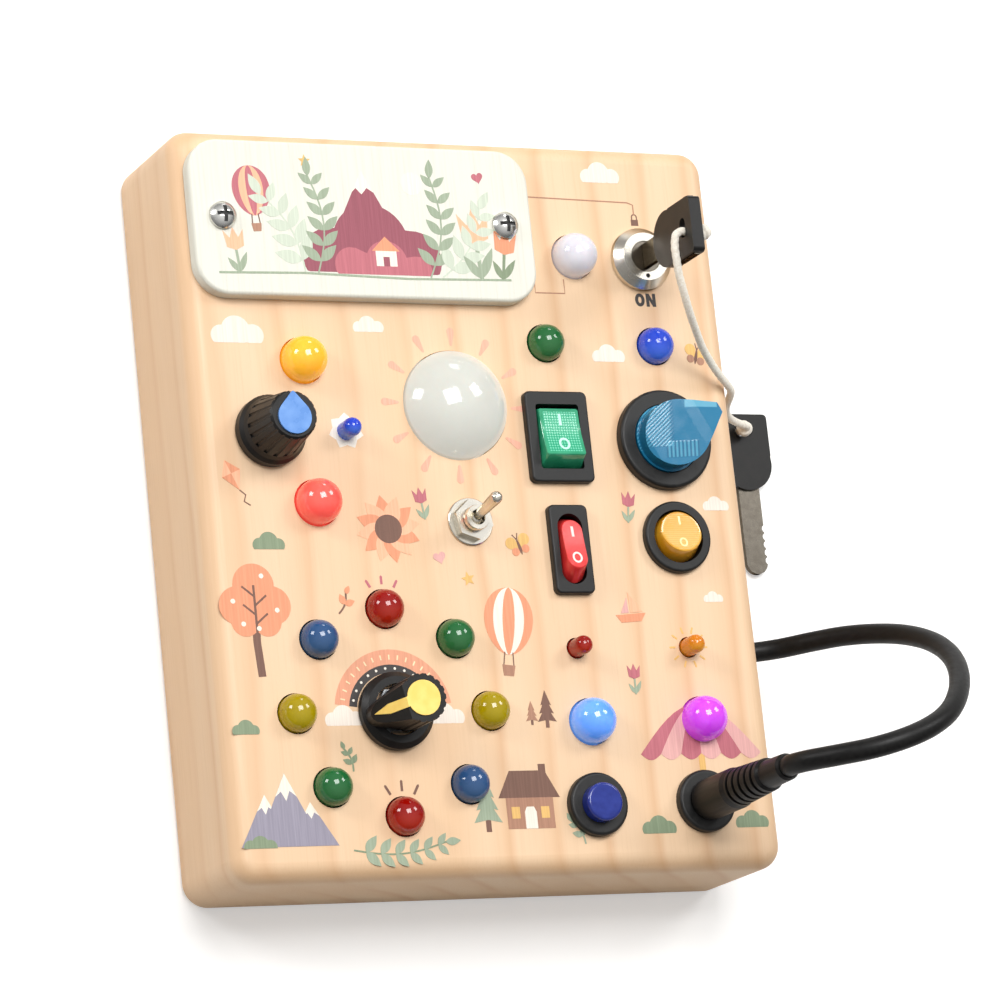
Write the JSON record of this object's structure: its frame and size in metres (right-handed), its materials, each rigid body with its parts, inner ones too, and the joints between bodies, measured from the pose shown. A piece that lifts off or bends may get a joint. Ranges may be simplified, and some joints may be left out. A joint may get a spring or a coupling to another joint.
{
  "type": "wooden busy board",
  "caption": "Wooden busy board with working switches, knobs, key lock, push button, power plug on a lead and coloured lamps.",
  "frame": {"origin": "middle of the back face, which the board lies on", "axes": "+Z out of the face, +Y up the board towards the name plate, +X to the right as seen from the front"},
  "size_m": [0.1947, 0.2, 0.1091],
  "materials": {
    "wood": "matte",
    "plywood": "matte",
    "steel": "satin",
    "chrome": "polished",
    "white_paint": "painted",
    "black_plastic": "moulded",
    "grey_plastic": "moulded",
    "brass": "plain",
    "black_knob": "moulded",
    "blue_cap": "gloss",
    "yellow_inlay": "gloss",
    "green_clear": "clear tinted plastic",
    "red_plastic": "gloss",
    "amber_clear": "clear tinted plastic",
    "blue_clear": "clear tinted plastic",
    "blue_button": "gloss",
    "string": "twisted cotton",
    "black_rubber": "satin",
    "opal": "opal",
    "amber_opal": "gloss",
    "red_opal": "gloss",
    "lavender_opal": "gloss",
    "light_blue": "gloss",
    "magenta": "gloss",
    "lamp_red": "clear tinted resin",
    "lamp_green": "clear tinted resin",
    "lamp_yellow": "clear tinted resin",
    "lamp_blue": "clear tinted resin",
    "lamp_amber": "clear tinted resin",
    "circuit_board": "coated",
    "wire": "insulated",
    "battery": "printed"
  },
  "bodies": {
    "board": {"wooden_case": "wood", "back_panel": "plywood", "back_screws": "steel", "name_plate": "white_paint", "name_plate_screws": "chrome", "battery_box": "grey_plastic", "batteries": "battery", "battery_contacts": "brass", "battery_cover": "plywood", "key_lock_body": "chrome", "spare_key_blade": "steel", "spare_key_head": "black_plastic", "key_string": "string", "pot_body": "steel", "selector_body": "black_plastic", "toggle_body": "steel", "toggle_washer": "chrome", "toggle_nut": "chrome", "green_rocker_housing": "black_plastic", "red_rocker_housing": "black_plastic", "round_rocker_housing": "black_plastic", "blue_knob_housing": "black_plastic", "push_button_housing": "black_plastic", "push_button_spring": "steel", "panel_nuts": "steel", "jack_body": "black_plastic", "power_cable": "black_rubber", "cable_grommet": "black_rubber", "sun_dome": "opal", "amber_dome": "amber_opal", "red_dome": "red_opal", "lavender_dome": "lavender_opal", "light_blue_dome": "light_blue", "magenta_dome": "magenta", "red_lamps": "lamp_red", "green_lamps": "lamp_green", "yellow_lamps": "lamp_yellow", "blue_lamps": "lamp_blue", "small_red_lamp": "lamp_red", "small_amber_lamp": "lamp_amber", "small_blue_lamp": "lamp_blue", "ring_circuit_board": "circuit_board", "wire_harness": "wire"},
    "key": {"key_lock_plug": "steel", "key_blade": "steel", "key_head": "black_plastic"},
    "volume": {"pot_shaft": "steel", "pot_knob": "black_knob", "pot_knob_cap": "blue_cap"},
    "selector": {"selector_shaft": "steel", "selector_knob": "black_knob", "selector_pointer": "yellow_inlay"},
    "toggle": {"toggle_lever": "chrome"},
    "green_rocker": {"green_rocker": "green_clear"},
    "red_rocker": {"red_rocker": "red_plastic"},
    "round_rocker": {"round_rocker": "amber_clear"},
    "blue_knob": {"blue_knob": "blue_clear"},
    "push_button": {"push_button_cap": "blue_button"},
    "plug": {"plug_barrel": "chrome", "plug_grip": "black_rubber"}
  },
  "joints": [
    {"name": "key_turn", "type": "hinge", "parent": "board", "child": "key", "pos_m": [0.0554, 0.0676, 0.038], "axis": [0, 0, 1], "range_deg": [0, 90], "deforming": ["key_string"]},
    {"name": "volume_turn", "type": "hinge", "parent": "board", "child": "volume", "pos_m": [-0.0587, 0.0176, 0.038], "axis": [0, 0, 1], "range_deg": [-300, 0]},
    {"name": "selector_turn", "type": "hinge", "parent": "board", "child": "selector", "pos_m": [-0.031, -0.0567, 0.038], "axis": [0, 0, 1], "range_deg": [-225, 90]},
    {"name": "toggle_flip", "type": "hinge", "parent": "board", "child": "toggle", "pos_m": [-0.0038, -0.006, 0.0412], "axis": [0.9511, -0.309, 0], "range_deg": [0, 26]},
    {"name": "green_rock", "type": "hinge", "parent": "board", "child": "green_rocker", "pos_m": [0.0243, 0.0171, 0.0376], "axis": [1, 0, 0], "range_deg": [0, 22]},
    {"name": "red_rock", "type": "hinge", "parent": "board", "child": "red_rocker", "pos_m": [0.0243, -0.0137, 0.0376], "axis": [1, 0, 0], "range_deg": [0, 22]},
    {"name": "round_rock", "type": "hinge", "parent": "board", "child": "round_rocker", "pos_m": [0.0566, -0.0102, 0.0376], "axis": [1, 0, 0], "range_deg": [0, 22]},
    {"name": "blue_knob_turn", "type": "hinge", "parent": "board", "child": "blue_knob", "pos_m": [0.056, 0.0167, 0.038], "axis": [0, 0, 1], "range_deg": [-180, 90]},
    {"name": "button_press", "type": "slide", "parent": "board", "child": "push_button", "axis": [0, 0, -1], "range_m": [0, 0.0025], "stiffness_N_per_m": 400, "springref_m": -0.002, "deforming": ["push_button_spring"]},
    {"name": "plug_pull", "type": "slide", "parent": "board", "child": "plug", "axis": [0, 0, 1], "range_m": [0, 0.012], "deforming": ["power_cable"]}
  ]
}
